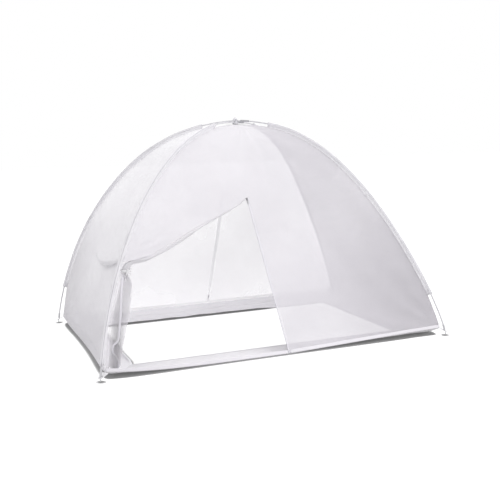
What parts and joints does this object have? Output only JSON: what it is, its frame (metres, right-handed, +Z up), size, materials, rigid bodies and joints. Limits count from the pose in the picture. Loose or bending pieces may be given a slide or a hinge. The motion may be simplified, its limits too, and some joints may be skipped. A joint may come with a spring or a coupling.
{
  "type": "mosquito net tent",
  "caption": "Bottomless dome mosquito net tent on two crossed flexible poles, white netting, front door half rolled back and tied, ground strip round an open floor",
  "frame": {"origin": "centre of the four feet, on the ground", "axes": "+X along the long front to its right-hand end, +Y from the front (the rolled-back door) to the back, +Z up"},
  "size_m": [2.0782, 1.4644, 1.312],
  "materials": {
    "netting": "fine white see-through netting",
    "flap_netting": "several layers of the same netting, gathered",
    "strip_cloth": "closely woven white cloth, matt",
    "sleeve_cloth": "closely woven white binding, matt",
    "webbing": "flat white webbing",
    "zip_tape": "pale grey woven zip tape with a nylon coil",
    "pole_glassfibre": "smooth pale glass-fibre rod",
    "ferrule_metal": "drawn steel tube",
    "tip_metal": "dark turned steel",
    "grommet_metal": "pressed nickel-plated eyelet",
    "slider_metal": "dark grey enamelled zip slider",
    "tie_cloth": "dark grey cloth tie"
  },
  "bodies": {
    "tent": {"upper_pole_section_1": "pole_glassfibre", "upper_pole_section_2": "pole_glassfibre", "upper_pole_section_3": "pole_glassfibre", "upper_pole_section_4": "pole_glassfibre", "upper_pole_section_5": "pole_glassfibre", "upper_pole_section_6": "pole_glassfibre", "lower_pole_section_1": "pole_glassfibre", "lower_pole_section_2": "pole_glassfibre", "lower_pole_section_3": "pole_glassfibre", "lower_pole_section_4": "pole_glassfibre", "lower_pole_section_5": "pole_glassfibre", "lower_pole_section_6": "pole_glassfibre", "upper_pole_ferrule_1": "ferrule_metal", "upper_pole_ferrule_2": "ferrule_metal", "upper_pole_ferrule_3": "ferrule_metal", "upper_pole_ferrule_4": "ferrule_metal", "upper_pole_ferrule_5": "ferrule_metal", "lower_pole_ferrule_1": "ferrule_metal", "lower_pole_ferrule_2": "ferrule_metal", "lower_pole_ferrule_3": "ferrule_metal", "lower_pole_ferrule_4": "ferrule_metal", "lower_pole_ferrule_5": "ferrule_metal", "front_left_tip": "tip_metal", "front_right_tip": "tip_metal", "back_left_tip": "tip_metal", "back_right_tip": "tip_metal", "front_left_sleeve": "sleeve_cloth", "front_right_sleeve": "sleeve_cloth", "back_left_sleeve": "sleeve_cloth", "back_right_sleeve": "sleeve_cloth", "front_left_corner_tab": "webbing", "front_right_corner_tab": "webbing", "back_left_corner_tab": "webbing", "back_right_corner_tab": "webbing", "front_left_grommet": "grommet_metal", "front_right_grommet": "grommet_metal", "back_left_grommet": "grommet_metal", "back_right_grommet": "grommet_metal", "front_net_wall": "netting", "back_net_wall": "netting", "left_net_wall": "netting", "right_net_wall": "netting", "front_door_flap": "flap_netting", "tie_back_strap": "webbing", "top_patch": "webbing", "front_ground_strip": "strip_cloth", "back_ground_strip": "strip_cloth", "left_ground_strip": "strip_cloth", "right_ground_strip": "strip_cloth", "front_zip_tape": "zip_tape", "back_zip_tape": "zip_tape", "front_hem_tape": "zip_tape", "front_threshold_tape": "zip_tape", "back_left_hem_tape": "zip_tape", "back_right_hem_tape": "zip_tape", "pole_tie": "tie_cloth"},
    "front_slider": {"front_slider": "slider_metal"},
    "front_puller": {"front_puller": "slider_metal"},
    "back_slider": {"back_slider": "slider_metal"},
    "back_puller": {"back_puller": "slider_metal"}
  },
  "joints": [
    {"name": "front_slider_run", "type": "slide", "parent": "tent", "child": "front_slider", "axis": [0.1353, -0.3014, -0.9438], "range_m": [0, 0.852]},
    {"name": "front_puller_turn", "type": "hinge", "parent": "front_slider", "child": "front_puller", "pos_m": [-0.09528, -0.40907, 0.84735], "axis": [-0.9908, -0.0412, -0.1289], "range_deg": [0, 175]},
    {"name": "back_slider_run", "type": "slide", "parent": "tent", "child": "back_slider", "axis": [0.0493, -0.3355, 0.9407], "range_m": [0, 0.809]},
    {"name": "back_puller_turn", "type": "hinge", "parent": "back_slider", "child": "back_puller", "pos_m": [0.01439, 0.67431, 0.08529], "axis": [0.9988, 0.0166, -0.0465], "range_deg": [0, 175]}
  ]
}
